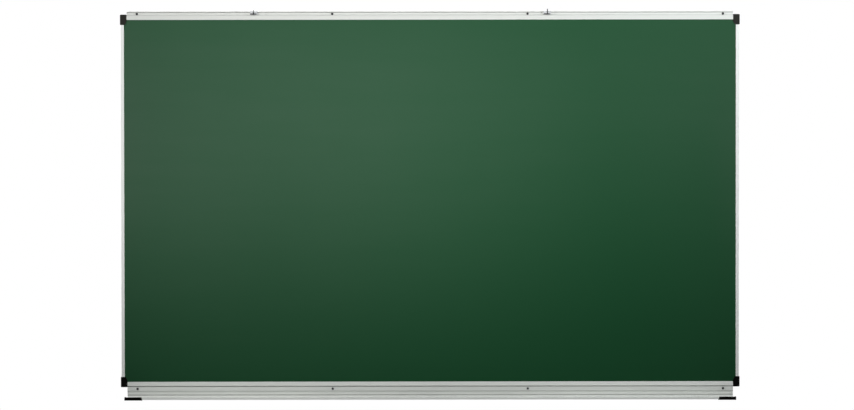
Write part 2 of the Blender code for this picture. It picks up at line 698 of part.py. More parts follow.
def make_tray_cap(name, side, material, parent):
    """A tray end cap: a sleeve on the lip, slanted at its inner end, and a plate on the corner of the tray's end."""
    plate_inner = TRAY_LENGTH / 2 + SEAT_GAP
    plate_outer = plate_inner + TRAY_CAP_END
    sleeve_inner = plate_outer - TRAY_CAP_LENGTH
    top = TRAY_LIP_TOP + SEAT_GAP + TRAY_CAP_WALL
    bottom = SHELF_BOTTOM - SEAT_GAP - TRAY_CAP_WALL

    def placed(depth, height, along):
        """Place of a point of this end, with the sleeve's inner end slanted."""
        slant = TRAY_CAP_SLANT * (height - bottom) / (top - bottom) if along == sleeve_inner else 0.0
        return (side * (along + slant), -depth, FRAME_BOTTOM + height)

    cap = object_from_bmesh(name, prism(tray_cap_outline(), placed, sleeve_inner, plate_outer), material, parent)
    plate_back = TRAY_LIP_FRONT - TRAY_CAP_GRIP
    plate_front = TRAY_LIP_FRONT + SEAT_GAP + TRAY_CAP_WALL
    plate = ordered_box(placed(plate_back, bottom, plate_inner), placed(plate_front, top, plate_outer))
    combine(cap, object_from_bmesh("end_plate", plate), "UNION")


def clip_outline():
    """Section of a hook clip around the bead, as depth and height from the bead's centre."""
    inner_lean = math.asin(CLIP_INNER_HALF / CLIP_INNER_RADIUS)
    outer_lean = math.asin(CLIP_OUTER_HALF / CLIP_OUTER_RADIUS)
    front = -math.pi / 2
    back = front + 2 * math.pi
    outer = arc_points((0.0, 0.0), CLIP_OUTER_RADIUS, front + outer_lean, back - outer_lean, BEAD_STEPS)
    inner = arc_points((0.0, 0.0), CLIP_INNER_RADIUS, back - inner_lean, front + inner_lean, BEAD_STEPS)
    return [
        (CLIP_OUTER_HALF, CLIP_LEG_END),
        *outer,
        (-CLIP_OUTER_HALF, CLIP_LEG_END),
        (-CLIP_INNER_HALF, CLIP_LEG_END),
        *inner,
        (CLIP_INNER_HALF, CLIP_LEG_END),
    ]


def prong_route(prong_height):
    """Middle line of the prong's wire, out of the foot bar and up, as depth and height from the bead's centre."""
    upright = FOOT_FRONT + PRONG_REACH
    bend_centre = (upright - PRONG_BEND_RADIUS, FOOT_MIDDLE + PRONG_BEND_RADIUS)
    bend = arc_points(bend_centre, PRONG_BEND_RADIUS, -math.pi / 2, 0.0, 2 * ARC_STEPS)
    return [(FOOT_BACK + FOOT_THICKNESS / 2, FOOT_MIDDLE), *bend, (upright, FOOT_MIDDLE + prong_height)]


def prong_wire(prong_height):
    """The prong's round wire as a closed object."""
    curve = bpy.data.curves.new("prong_wire", "CURVE")
    curve.dimensions = "3D"
    curve.bevel_depth = PRONG_DIAMETER / 2
    curve.bevel_resolution = WIRE_RESOLUTION
    curve.use_fill_caps = True
    route = prong_route(prong_height)
    spline = curve.splines.new("POLY")
    spline.points.add(len(route) - 1)
    for point, (depth, height) in zip(spline.points, route):
        point.co = (0.0, -depth, height, 1.0)
    wire = bpy.data.objects.new("prong_wire", curve)
    bpy.context.scene.collection.objects.link(wire)
    bpy.context.view_layer.update()
    depsgraph = bpy.context.evaluated_depsgraph_get()
    mesh = bpy.data.meshes.new_from_object(wire.evaluated_get(depsgraph))
    bpy.data.objects.remove(wire, do_unlink=True)
    shape = bmesh.new()
    shape.from_mesh(mesh)
    bmesh.ops.remove_doubles(shape, verts=shape.verts, dist=MERGE_DISTANCE)
    return object_from_bmesh("prong_wire", shape)


def make_hook(name, x, prong_height, clip_material, prong_material):
    """A map hook: a clip that slides on the bead, and a prong on a foot bar in front of it."""
    slide_point = make_empty(f"{name}_slide_point", (x, -FLANGE_CENTRE, FRAME_TOP + BEAD_HEIGHT))
    half_clip = CLIP_WIDTH / 2
    clip_shape = prism(clip_outline(), along_x, -half_clip, half_clip)
    clip = object_from_bmesh(f"{name}_clip", clip_shape, clip_material, slide_point)
    shade_round(clip)
    foot_left = -FOOT_WIDTH / 2 - PRONG_OFF_FOOT_MIDDLE
    foot_right = FOOT_WIDTH / 2 - PRONG_OFF_FOOT_MIDDLE
    foot_corners = [
        (foot_left, FOOT_BOTTOM, FOOT_EDGE_RADIUS),
        (foot_right, FOOT_BOTTOM, FOOT_EDGE_RADIUS),
        (foot_right, FOOT_TOP, FOOT_EDGE_RADIUS),
        (foot_left, FOOT_TOP, FOOT_EDGE_RADIUS),
    ]

    def upright_plate(across, height, depth):
        """Place of a point of the foot bar."""
        return (across, -depth, height)

    foot_shape = prism(rounded_outline(foot_corners), upright_plate, FOOT_BACK, FOOT_FRONT)
    prong = object_from_bmesh(f"{name}_prong", foot_shape, prong_material, slide_point)
    wire = prong_wire(prong_height)
    wire.parent = slide_point
    combine(prong, wire, "UNION")
    shade_round(prong)


def build():
    """Makes every piece of the chalkboard."""
    clear_scene()
    board = make_empty("chalkboard", (0.0, 0.0, 0.0))
    aluminium = silver_anodised()
    plastic = black_plastic()
    zinc = zinc_sheet()
    make_panel(zinc, board)
    make_rail("top_rail", 1, beaded_flange(), FRAME_TOP + TOP_SCREW_HEIGHT, aluminium, board)
    make_rail("bottom_rail", -1, plain_flange(), FRAME_BOTTOM - TRAY_SCREW_DROP, aluminium, board)
    for side_name, side in (("left", -1), ("right", 1)):
        make_stile(f"{side_name}_stile", side, aluminium, board)
        make_corner_cap(f"corner_cap_top_{side_name}", side, 1, plastic, board)
        make_corner_cap(f"corner_cap_bottom_{side_name}", side, -1, plastic, board)
        make_tray_cap(f"tray_cap_{side_name}", side, plastic, board)
    make_tray(aluminium, board)
    for number, x in enumerate(SCREW_PLACES, start=1):
        make_bracket(f"wall_bracket_{number}", x, zinc, board)
    make_screws(board)
    steel = dark_steel()
    left_screw = SCREW_PLACES[(SCREW_COUNT - 1) // 2]
    right_screw = SCREW_PLACES[SCREW_COUNT // 2]
    make_hook("left_hook", left_screw - LEFT_HOOK_FROM_SCREW, LEFT_PRONG_HEIGHT, zinc, steel)
    make_hook("right_hook", right_screw + RIGHT_HOOK_FROM_SCREW, RIGHT_PRONG_HEIGHT, zinc, steel)


build()
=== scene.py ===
"""The school chalkboard as it looks: finishes, eased edges, turned screws and bent hooks.

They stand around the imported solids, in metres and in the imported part's frame: the wall is the
plane y = 0, the writing face looks along -Y and +Z is up.
"""

import logging
import math
from dataclasses import dataclass, field
from enum import Enum
from typing import Any

import bmesh
import bpy
from mathutils import Matrix, Quaternion, Vector

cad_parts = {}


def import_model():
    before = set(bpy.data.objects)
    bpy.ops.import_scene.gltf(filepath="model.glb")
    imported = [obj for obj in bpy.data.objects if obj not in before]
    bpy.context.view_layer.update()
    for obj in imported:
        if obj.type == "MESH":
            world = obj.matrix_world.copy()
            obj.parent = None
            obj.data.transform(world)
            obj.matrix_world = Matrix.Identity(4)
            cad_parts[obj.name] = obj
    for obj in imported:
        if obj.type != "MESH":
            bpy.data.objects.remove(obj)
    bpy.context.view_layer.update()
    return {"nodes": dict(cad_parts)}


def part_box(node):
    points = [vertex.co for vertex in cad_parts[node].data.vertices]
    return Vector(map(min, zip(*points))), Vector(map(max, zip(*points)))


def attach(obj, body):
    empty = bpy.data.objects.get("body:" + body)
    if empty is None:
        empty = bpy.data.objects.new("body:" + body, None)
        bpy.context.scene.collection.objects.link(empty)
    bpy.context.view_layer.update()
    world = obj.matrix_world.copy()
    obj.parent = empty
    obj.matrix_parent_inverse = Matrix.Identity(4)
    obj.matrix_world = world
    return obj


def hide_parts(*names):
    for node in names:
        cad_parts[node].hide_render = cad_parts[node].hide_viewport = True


LOG = logging.getLogger("chalkboard")
BOARD = "board"
ORIGIN = (0.0, 0.0, 0.0)
WHITE = (1.0, 1.0, 1.0, 1.0)
QUARTER_TURN = math.pi / 2

# Reach of a pattern along an axis on which it has no end.
WIDE = 1000.0
# Points nearer than this are one point.
JOINED_WITHIN = 0.000004
# Turn between two faces up to which they lie in one plane, and past which their edge is eased.
FLAT_WITHIN = math.radians(0.5)
EASED_PAST = math.radians(40)
# Degrees from which a corner is shaded sharp.
SHARP_CORNER = 32.0
# Weight at which a mesh's large faces alone set its shading.
LARGE_FACES = 100

Pair = tuple[float, float]
Triple = tuple[float, float, float]
Socket = bpy.types.NodeSocket
Material = bpy.types.Material
Mesh = bpy.types.Mesh
Item = bpy.types.Object
Shape = bmesh.types.BMesh


class Slot(Enum):
    """Names of the record's material slots."""

    SILVER = "silver_anodised"
    PLASTIC = "black_plastic"
    ZINC = "zinc_sheet"
    SCREW = "screw_steel"
    PRONG = "dark_steel"


class DrawnAlong(Enum):
    """The way that an extruded bar runs, and with it its die lines."""

    WIDTH = 0
    HEIGHT = 2

    def stretch(self, across: float, along: float) -> Triple:
        """Pattern scales on the three axes: fine across the bar and long along it.

        Args:
            across: Scale on the two axes across the bar, per metre.
            along: Scale on the bar's own axis, per metre.

        Returns:
            The scale on X, Y and Z.
        """
        scales = [across, across, across]
        scales[self.value] = along
        return tuple(scales)


class HookSide(Enum):
    """The two map hooks, by their body's name."""

    LEFT = "left_hook"
    RIGHT = "right_hook"


class FinishTree:
    """A material under construction: its shader, and short calls that add and join nodes."""

    def __init__(self, name: str) -> None:
        """Starts a material that reads Object coordinates.

        Args:
            name: The material's name.
        """
        self.material = bpy.data.materials.new(name)
        self.material.use_nodes = True
        self.tree = self.material.node_tree
        self.shader = self.tree.nodes["Principled BSDF"]
        self.place = self.tree.nodes.new("ShaderNodeTexCoord").outputs["Object"]

    def join(self, source: Socket, target: Socket) -> None:
        """Links an output to an input."""
        self.tree.links.new(source, target)

    def feed(self, value: Any, target: Socket) -> None:
        """Links a socket to an input, or sets the input to a plain value.

        Args:
            value: The socket or the plain value.
            target: The input.
        """
        if isinstance(value, Socket):
            self.join(value, target)
        else:
            target.default_value = value

    def set(self, **values: Any) -> None:
        """Sets or links the shader's inputs, which are named with underscores for spaces."""
        for name, value in values.items():
            self.feed(value, self.shader.inputs[name.replace("_", " ")])

    def mapped(self, scale: Triple, location: Triple = ORIGIN, turn: Triple = ORIGIN) -> Socket:
        """Object coordinates moved, turned and scaled.

        Args:
            scale: Scale on each axis, applied first.
            location: Shift, applied last.
            turn: Rotation in radians.

        Returns:
            The vector socket.
        """
        node = self.tree.nodes.new("ShaderNodeMapping")
        node.inputs["Location"].default_value = location
        node.inputs["Rotation"].default_value = turn
        node.inputs["Scale"].default_value = scale
        self.join(self.place, node.inputs["Vector"])
        return node.outputs["Vector"]

    def ruffled(self, scale: float, reach: float) -> Socket:
        """Object coordinates pushed about by noise.

        Args:
            scale: Pushes per metre.
            reach: The longest push, in metres.

        Returns:
            The vector socket.
        """
        push = self.tree.nodes.new("ShaderNodeTexNoise")
        push.inputs["Scale"].default_value = scale
        push.inputs["Detail"].default_value = 3.0
        self.join(self.place, push.inputs["Vector"])
        node = self.tree.nodes.new("ShaderNodeVectorMath")
        node.operation = "MULTIPLY_ADD"
        self.join(push.outputs["Color"], node.inputs[0])
        node.inputs[1].default_value = (reach, reach, reach)
        self.join(self.place, node.inputs[2])
        return node.outputs["Vector"]

    def noise(
        self, vector: Socket, scale: float, detail: float, roughness: float = 0.5,
    ) -> Socket:
        """Noise from 0 to 1.

        Args:
            vector: Where the noise is read.
            scale: Features per unit of the vector.
            detail: Octaves.
            roughness: Weight of the finer octaves.

        Returns:
            The factor socket.
        """
        node = self.tree.nodes.new("ShaderNodeTexNoise")
        node.inputs["Scale"].default_value = scale
        node.inputs["Detail"].default_value = detail
        node.inputs["Roughness"].default_value = roughness
        self.join(vector, node.inputs["Vector"])
        return node.outputs[0]

    def cells(self, vector: Socket, scale: float) -> Socket:
        """One random grey per cell of a Voronoi pattern.

        Args:
            vector: Where the pattern is read.
            scale: Cells per unit of the vector.

        Returns:
            The grey as a factor socket.
        """
        node = self.tree.nodes.new("ShaderNodeTexVoronoi")
        node.inputs["Scale"].default_value = scale
        self.join(vector, node.inputs["Vector"])
        split = self.tree.nodes.new("ShaderNodeSeparateColor")
        self.join(node.outputs["Color"], split.inputs["Color"])
        return split.outputs["Red"]

    def spot(self, centre: Triple, reach: Triple) -> Socket:
        """A soft spot that is 1 at its centre and 0 at its reach.

        Args:
            centre: The spot's centre.
            reach: How far it goes on each axis.

        Returns:
            The factor socket.
        """
        node = self.tree.nodes.new("ShaderNodeTexGradient")
        node.gradient_type = "SPHERICAL"
        scale = tuple(1.0 / length for length in reach)
        shift = tuple(-middle / length for middle, length in zip(centre, reach))
        self.join(self.mapped(scale, shift), node.inputs["Vector"])
        return self.ranged(node.outputs["Fac"], 0.0, 1.0, smooth=True)

    def ranged(self, value: Socket, low: float, high: float, smooth: bool = False) -> Socket:
        """A 0 to 1 value carried to another range.

        Args:
            value: The value socket.
            low: Result at 0.
            high: Result at 1.
            smooth: Whether the ends are eased.

        Returns:
            The result socket.
        """
        node = self.tree.nodes.new("ShaderNodeMapRange")
        node.interpolation_type = "SMOOTHSTEP" if smooth else "LINEAR"
        node.inputs["To Min"].default_value = low
        node.inputs["To Max"].default_value = high
        self.join(value, node.inputs["Value"])
        return node.outputs["Result"]

    def math(self, operation: str, first: Any, second: Any) -> Socket:
        """Two values put together by one sum.

        Args:
            operation: Blender's name of the operation.
            first: First value or socket.
            second: Second value or socket.

        Returns:
            The result socket.
        """
        node = self.tree.nodes.new("ShaderNodeMath")
        node.operation = operation
        self.feed(first, node.inputs[0])
        self.feed(second, node.inputs[1])
        return node.outputs["Value"]

    def mixed(self, first: Socket, second: Socket, share: float) -> Socket:
        """Two values mixed by the first one's share; the second one has the rest."""
        rest = self.math("MULTIPLY", second, 1.0 - share)
        return self.math("ADD", self.math("MULTIPLY", first, share), rest)

    def blend(self, factor: Socket, first: Any, second: Any) -> Socket:
        """A colour between two colours.

        Args:
            factor: Socket that is 0 at the first colour and 1 at the second.
            first: Linear colour at 0, or a colour socket.
            second: Linear colour at 1, or a colour socket.

        Returns:
            The colour socket.
        """
        node = self.tree.nodes.new("ShaderNodeMix")
        node.data_type = "RGBA"
        target, *ends = [s for s in node.inputs if s.enabled]
        self.feed(factor, target)
        for colour, end in zip((first, second), ends):
            self.feed((*colour, 1.0) if isinstance(colour, tuple) else colour, end)
        return next(s for s in node.outputs if s.enabled)

    def scaled(self, colour: Triple, share: Socket) -> Socket:
        """A colour made darker or lighter by a share that varies.

        Args:
            colour: Linear colour at a share of 1.
            share: The share's socket.

        Returns:
            The colour socket.
        """
        node = self.tree.nodes.new("ShaderNodeVectorMath")
        node.operation = "SCALE"
        node.inputs[0].default_value = colour
        self.join(share, node.inputs["Scale"])
        return node.outputs["Vector"]

    def relief(self, height: Socket, strength: float, distance: float) -> None:
        """Joins a height to the shader's normal.

        Args:
            height: Height socket, 0 to 1.
            strength: How strongly it shows.
            distance: Height of 1, in metres.
        """
        node = self.tree.nodes.new("ShaderNodeBump")
        node.inputs["Strength"].default_value = strength
        node.inputs["Distance"].default_value = distance
        self.join(height, node.inputs["Height"])
        self.join(node.outputs["Normal"], self.shader.inputs["Normal"])


def background_rays(tree: bpy.types.NodeTree) -> Socket:
    """Finds the rays that see a background, straight or by way of a mirror or glass.

    Args:
        tree: Node tree of a material or the world.

    Returns:
        A socket that is 1 for these rays and otherwise 0.
    """
    path = tree.nodes.new("ShaderNodeLightPath")
    seen = path.outputs["Is Camera Ray"]
    for other in ("Is Glossy Ray", "Is Transmission Ray"):
        either = tree.nodes.new("ShaderNodeMath")
        either.operation = "MAXIMUM"
        tree.links.new(seen, either.inputs[0])
        tree.links.new(path.outputs[other], either.inputs[1])
        seen = either.outputs["Value"]
    return seen


@dataclass(frozen=True)
class SoftPatch:
    """A soft patch that is paler or, with a weight below zero, duller towards its centre."""

    centre: Triple
    reach: Triple
    weight: float

    def added(self, tree: FinishTree, share: Any) -> Socket:
        """Adds the patch to a share, which is a plain value or a socket."""
        patch = tree.math("MULTIPLY", tree.spot(self.centre, self.reach), self.weight)
        return tree.math("ADD", share, patch)


def at_width(middle: float, reach: float, weight: float) -> SoftPatch:
    """A patch about one place along the board's width, at any depth and height."""
    return SoftPatch((middle, 0.0, 0.0), (reach, WIDE, WIDE), weight)


@dataclass(frozen=True)
class WritingCoat:
    """Matt green writing coat on steel, with a faint pale film that is partly wiped chalk and
    partly a painted sheen.
    """

    green: Triple = (0.0179, 0.0940, 0.0370)
    chalk: Triple = (0.66, 0.67, 0.66)
    # Pale patches that stand for wiped chalk and for a painted sheen of light.
    chalk_and_sheen: tuple[SoftPatch, ...] = (
        SoftPatch((0.0, 0.0, -0.082), (4.0, 1.0, 0.53), 0.0187),
        SoftPatch((-0.794, 0.0, -0.353), (1.69, 1.0, 0.74), 0.0531),
        SoftPatch((0.80, 0.0, -0.206), (0.44, 1.0, 0.95), 0.0183),
        SoftPatch((-0.765, 0.0, -0.29), (0.13, 1.0, 0.42), 0.0130),
        SoftPatch((0.765, 0.0, -0.37), (0.11, 1.0, 0.36), 0.0110),
    )
    # Painted shade: the coat is made darker towards the board's foot.
    foot: SoftPatch = SoftPatch((0.0, 0.0, -0.905), (WIDE, WIDE, 0.085), -0.13)
    cloud_scale: float = 3.2
    cloud_range: Pair = (0.86, 1.14)
    streak_stretch: Triple = (2.2, 1.0, 26.0)
    streak_turn: float = math.radians(24)
    streak_range: Pair = (0.84, 1.16)
    grain_scale: float = 1500.0
    grain_range: Pair = (0.93, 1.07)
    grain_height: float = 0.00012
    roughness: Pair = (0.50, 0.62)
    gloss: float = 0.01

    def make(self) -> Material:
        """Builds the material.

        Returns:
            The material.
        """
        tree = FinishTree("writing_coat")
        # Share of the pale film of chalk and painted sheen.
        left: Any = 0.0
        for patch in self.chalk_and_sheen:
            left = patch.added(tree, left)
        clouds = tree.noise(tree.place, self.cloud_scale, detail=3.0)
        wiped = tree.mapped(self.streak_stretch, turn=(0.0, self.streak_turn, 0.0))
        streaks = tree.noise(wiped, 1.0, detail=5.0, roughness=0.6)
        chalk_and_sheen = tree.math("MULTIPLY", left, tree.ranged(clouds, *self.cloud_range))
        chalk_and_sheen = tree.math("MULTIPLY", chalk_and_sheen, tree.ranged(streaks, *self.streak_range))
        grain = tree.noise(tree.place, self.grain_scale, detail=2.0)
        # The coat takes the painted shade towards the foot.
        coat = tree.scaled(self.green, self.foot.added(tree, tree.ranged(grain, *self.grain_range)))
        tree.set(
            Base_Color=tree.blend(chalk_and_sheen, coat, self.chalk),
            Roughness=tree.ranged(grain, *self.roughness),
            Specular_IOR_Level=self.gloss,
        )
        tree.relief(grain, strength=0.25, distance=self.grain_height)
        return tree.material


@dataclass(frozen=True)
class GrooveShade:
    """A dark band painted along a groove across the board's width: painted shade of the groove,
    made a little patchy.
    """

    height: float
    reach: float
    weight: float


@dataclass(frozen=True)
class AnodisedBar:
    """Silver anodised extrusion: fine die lines, a tone that varies, painted shade in its grooves,
    and painted light and shade along its length.
    """

    name: str
    drawn: DrawnAlong
    silver: Triple
    # Painted shade: dark bands along the bar's grooves.
    groove_shade: tuple[GrooveShade, ...] = ()
    # Painted light and shade that make the bar paler or duller by place along its length.
    painted_light: tuple[SoftPatch, ...] = ()
    # Colour of the painted groove shade.
    groove_shade_colour: Triple = (0.085, 0.083, 0.078)
    metal: float = 0.15
    lines_across: float = 1400.0
    lines_along: float = 1.5
    line_share: float = 0.8
    line_height: float = 0.00004
    cloud_scale: float = 9.0
    tone_range: Pair = (0.95, 1.05)
    groove_shade_range: Pair = (0.85, 1.15)
    roughness: Pair = (0.52, 0.64)

    def make(self) -> Material:
        """Builds the material.

        Returns:
            The material.
        """
        tree = FinishTree(self.name)
        drawn = tree.mapped(self.drawn.stretch(self.lines_across, self.lines_along))
        lines = tree.noise(drawn, 1.0, detail=3.0, roughness=0.65)
        clouds = tree.noise(tree.place, self.cloud_scale, detail=2.0)
        share = tree.ranged(tree.mixed(lines, clouds, self.line_share), *self.tone_range)
        # Painted light and shade along the bar.
        for patch in self.painted_light:
            share = patch.added(tree, share)
        colour = tree.scaled(self.silver, share)
        # Each band darkens the colour as painted shade of a groove.
        for line in self.groove_shade:
            shade_band = tree.spot((0.0, 0.0, line.height), (WIDE, WIDE, line.reach))
            uneven = tree.noise(tree.place, self.cloud_scale, detail=4.0)
            patchy_shade = tree.math("MULTIPLY", shade_band, tree.ranged(uneven, *self.groove_shade_range))
            colour = tree.blend(tree.math("MULTIPLY", patchy_shade, line.weight), colour, self.groove_shade_colour)
        tree.set(
            Base_Color=colour,
            Metallic=self.metal,
            Roughness=tree.ranged(lines, *self.roughness),
        )
        tree.relief(lines, strength=0.18, distance=self.line_height)
        return tree.material


@dataclass(frozen=True)
class MouldedPlastic:
    """Black moulded plastic with a fine grain, painted paler towards the board's top as painted
    light.
    """

    black: Triple = (0.0024, 0.0024, 0.0021)
    # Painted light: the plastic is paler towards the board's top.
    painted_top_light: Triple = (0.0330, 0.0325, 0.0285)
    top_light_reach: float = 0.30
    scuff_scale: float = 60.0
    scuff_range: Pair = (0.7, 1.35)
    grain_scale: float = 2200.0
    grain_height: float = 0.00006
    roughness: Pair = (0.50, 0.62)
    gloss: float = 0.03

    def make(self) -> Material:
        """Builds the material.

        Returns:
            The material.
        """
        tree = FinishTree("moulded_plastic")
        grain = tree.noise(tree.place, self.grain_scale, detail=2.0)
        scuffs = tree.noise(tree.place, self.scuff_scale, detail=4.0)
        # Painted light towards the top.
        painted_top_light = tree.spot(ORIGIN, (WIDE, WIDE, self.top_light_reach))
        dark = tree.scaled(self.black, tree.ranged(scuffs, *self.scuff_range))
        tree.set(
            Base_Color=tree.blend(painted_top_light, dark, self.painted_top_light),
            Roughness=tree.ranged(grain, *self.roughness),
            Specular_IOR_Level=self.gloss,
        )
        tree.relief(grain, strength=0.3, distance=self.grain_height)
        return tree.material


@dataclass(frozen=True)
class ZincSheet:
    """Zinc-coated sheet steel with a soft spangle."""

    zinc: Triple = (0.50, 0.51, 0.52)
    ruffle_scale: float = 160.0
    ruffle_reach: float = 0.004
    flake_scale: float = 120.0
    frost_scale: float = 420.0
    flake_share: float = 0.6
    cloud_scale: float = 14.0
    cloud_height: float = 0.00010
    spangle_share: float = 0.7
    tone_range: Pair = (0.84, 1.12)
    roughness: Pair = (0.34, 0.52)

    def make(self) -> Material:
        """Builds the material.

        Returns:
            The material.
        """
        tree = FinishTree("zinc_coat")
        ruffled = tree.ruffled(self.ruffle_scale, self.ruffle_reach)
        flakes = tree.cells(ruffled, self.flake_scale)
        frost = tree.cells(ruffled, self.frost_scale)
        spangle = tree.mixed(flakes, frost, self.flake_share)
        clouds = tree.noise(tree.place, self.cloud_scale, detail=4.0)
        tone = tree.mixed(spangle, clouds, self.spangle_share)
        tree.set(
            Base_Color=tree.scaled(self.zinc, tree.ranged(tone, *self.tone_range)),
            Metallic=1.0,
            Roughness=tree.ranged(spangle, *self.roughness),
        )
        tree.relief(clouds, strength=0.08, distance=self.cloud_height)
        return tree.material


@dataclass(frozen=True)
class TurnedSteel:
    """Dull steel with faint marks; where it is worn, the part that lies back is rubbed paler."""

    name: str
    steel: Triple
    worn: bool = False
    rubbed: Triple = (0.250, 0.250, 0.255)
    rubbed_depth: float = -0.0178
    rubbed_reach: float = 0.0035
    mark_scale: float = 900.0
    mark_range: Pair = (0.8, 1.2)
    mark_height: float = 0.00003
    roughness: Pair = (0.32, 0.48)

    def make(self) -> Material:
        """Builds the material.

        Returns:
            The material.
        """
        tree = FinishTree(self.name)
        marks = tree.noise(tree.place, self.mark_scale, detail=4.0, roughness=0.6)
        colour = tree.scaled(self.steel, tree.ranged(marks, *self.mark_range))
        if self.worn:
            back = tree.spot((0.0, self.rubbed_depth, 0.0), (WIDE, self.rubbed_reach, WIDE))
            colour = tree.blend(back, colour, self.rubbed)
        tree.set(
            Base_Color=colour,
            Metallic=1.0,
            Roughness=tree.ranged(marks, *self.roughness),
        )
        tree.relief(marks, strength=0.15, distance=self.mark_height)
        return tree.material


@dataclass(frozen=True)
class FibreBoard:
    """Pressed fibre of the panel's core."""

    light: Triple = (0.40, 0.29, 0.18)
    dark: Triple = (0.22, 0.15, 0.09)
    fibre_stretch: Triple = (180.0, 900.0, 180.0)
    fibre_height: float = 0.0002
    roughness: Pair = (0.8, 0.95)
    gloss: float = 0.2

    def make(self) -> Material:
        """Builds the material.

        Returns:
            The material.
        """
        tree = FinishTree("fibre_board")
        fibres = tree.noise(tree.mapped(self.fibre_stretch), 1.0, detail=5.0, roughness=0.7)
        tree.set(
            Base_Color=tree.blend(fibres, self.dark, self.light),
            Roughness=tree.ranged(fibres, *self.roughness),
            Specular_IOR_Level=self.gloss,
        )
        tree.relief(fibres, strength=0.4, distance=self.fibre_height)
        return tree.material


@dataclass(frozen=True)
class PaleFloor:
    """Pale matt floor under the board, paler still as a background."""

    pale: Triple = (0.86, 0.86, 0.85)
    cloud_scale: float = 2.0
    cloud_range: Pair = (0.985, 1.015)
    roughness: float = 0.8
    gloss: float = 0.2
    glow: float = 0.30

    def make(self) -> Material:
        """Builds the material.

        Returns:
            The material.
        """
        tree = FinishTree("pale_floor")
        clouds = tree.noise(tree.place, self.cloud_scale, detail=3.0)
        tree.set(
            Base_Color=tree.scaled(self.pale, tree.ranged(clouds, *self.cloud_range)),
            Roughness=self.roughness,
            Specular_IOR_Level=self.gloss,
            Emission_Color=WHITE,
            Emission_Strength=tree.math("MULTIPLY", background_rays(tree.tree), self.glow),
        )
        return tree.material


# Painted shade in the grooves of the top rail, along the sill's lower edge and in the tray's steps.
TOP_GROOVE_SHADE = (GrooveShade(0.01225, 0.0011, 0.85), GrooveShade(0.00600, 0.0012, 0.22))
SILL_GROOVE_SHADE = (GrooveShade(-0.89880, 0.0016, 0.40),)
TRAY_GROOVE_SHADE = (
    *SILL_GROOVE_SHADE, GrooveShade(-0.90970, 0.0016, 0.35), GrooveShade(-0.91960, 0.0026, 0.50),
)
# Painted light: the front of the tray's lip is made paler, as if lit from below.
PAINTED_LIP_LIGHT = SoftPatch((0.0, -0.0640, -0.9258), (WIDE, 0.0070, 0.0060), 0.22)
# Painted light and shade along the bars: paler towards the right end, duller in the middle or
# towards the left.
TOP_PAINTED_LIGHT = (at_width(0.74, 0.74, 0.105), at_width(-0.74, 0.74, -0.03))
SILL_PAINTED_LIGHT = (at_width(0.0, 0.50, -0.06), at_width(0.74, 0.74, 0.135))
TRAY_PAINTED_LIGHT = (at_width(0.0, 0.50, -0.11), at_width(0.74, 0.74, 0.06), PAINTED_LIP_LIGHT)
STILE_PAINTED_LIGHT = (at_width(0.75, 0.74, 0.03),)
# One anodised finish in four copies whose silvers differ as painted light and shade: the stiles and
# the sill paler, the top rail darker, as the light falls on each.
RAIL = AnodisedBar(
    "anodised_rail", DrawnAlong.WIDTH, (0.749, 0.758, 0.722), TOP_GROOVE_SHADE, TOP_PAINTED_LIGHT,
)
TRAY = AnodisedBar(
    "anodised_tray", DrawnAlong.WIDTH, (0.806, 0.822, 0.786), TRAY_GROOVE_SHADE, TRAY_PAINTED_LIGHT,
)
STILE = AnodisedBar(
    "anodised_stile", DrawnAlong.HEIGHT, (0.910, 0.923, 0.893), painted_light=STILE_PAINTED_LIGHT,
)
SILL = AnodisedBar(
    "anodised_sill", DrawnAlong.WIDTH, (0.880, 0.893, 0.860), SILL_GROOVE_SHADE, SILL_PAINTED_LIGHT,
)
SCREW = TurnedSteel("screw_steel", (0.045, 0.045, 0.047))
PRONG = TurnedSteel("prong_steel", (0.026, 0.026, 0.027), worn=True)


@dataclass
class Finishes:
    """Every finish of the board, made once."""

    coat: Material = field(default_factory=WritingCoat().make)
    rail: Material = field(default_factory=RAIL.make)
    tray: Material = field(default_factory=TRAY.make)
    stile: Material = field(default_factory=STILE.make)
    sill: Material = field(default_factory=SILL.make)
    plastic: Material = field(default_factory=MouldedPlastic().make)
    zinc: Material = field(default_factory=ZincSheet().make)
    screw: Material = field(default_factory=SCREW.make)
    prong: Material = field(default_factory=PRONG.make)
    core: Material = field(default_factory=FibreBoard().make)


def smooth_by_angle(mesh: Mesh, corner: float = SHARP_CORNER) -> None:
    """Shades a mesh smooth from its own faces, apart from its corners.

    Args:
        mesh: The mesh.
        corner: Degrees from which a corner stays sharp.
    """
    if mesh.has_custom_normals:
        mesh.attributes.remove(mesh.attributes["custom_normal"])
    mesh.shade_smooth()
    mesh.set_sharp_from_angle(angle=math.radians(corner))


def linked(name: str, mesh: Mesh) -> Item:
    """Puts a mesh into the scene as an object at the origin.

    Args:
        name: The object's name.
        mesh: The mesh, in place.

    Returns:
        The object.
    """
    item = bpy.data.objects.new(name, mesh)
    bpy.context.scene.collection.objects.link(item)
    return item


def mesh_from(shape: Shape, name: str, corner: float = SHARP_CORNER) -> Mesh:
    """Turns a finished shape into a mesh and frees the shape.

    Args:
        shape: The shape.
        name: The mesh's name.
        corner: Degrees from which a corner stays sharp.

    Returns:
        The mesh.
    """
    mesh = bpy.data.meshes.new(name)
    shape.to_mesh(mesh)
    shape.free()
    smooth_by_angle(mesh, corner)
    return mesh


def settled_mesh(item: Item, name: str) -> Mesh:
    """The mesh that an object's modifiers give; the object itself is removed.

    Args:
        item: Object with live modifiers.
        name: Name of the new mesh.

    Returns:
        A plain mesh.
    """
    bpy.context.view_layer.update()
    depsgraph = bpy.context.evaluated_depsgraph_get()
    mesh = bpy.data.meshes.new_from_object(item.evaluated_get(depsgraph))
    mesh.name = name
    item.modifiers.clear()
    bpy.data.objects.remove(item, do_unlink=True)
    return mesh


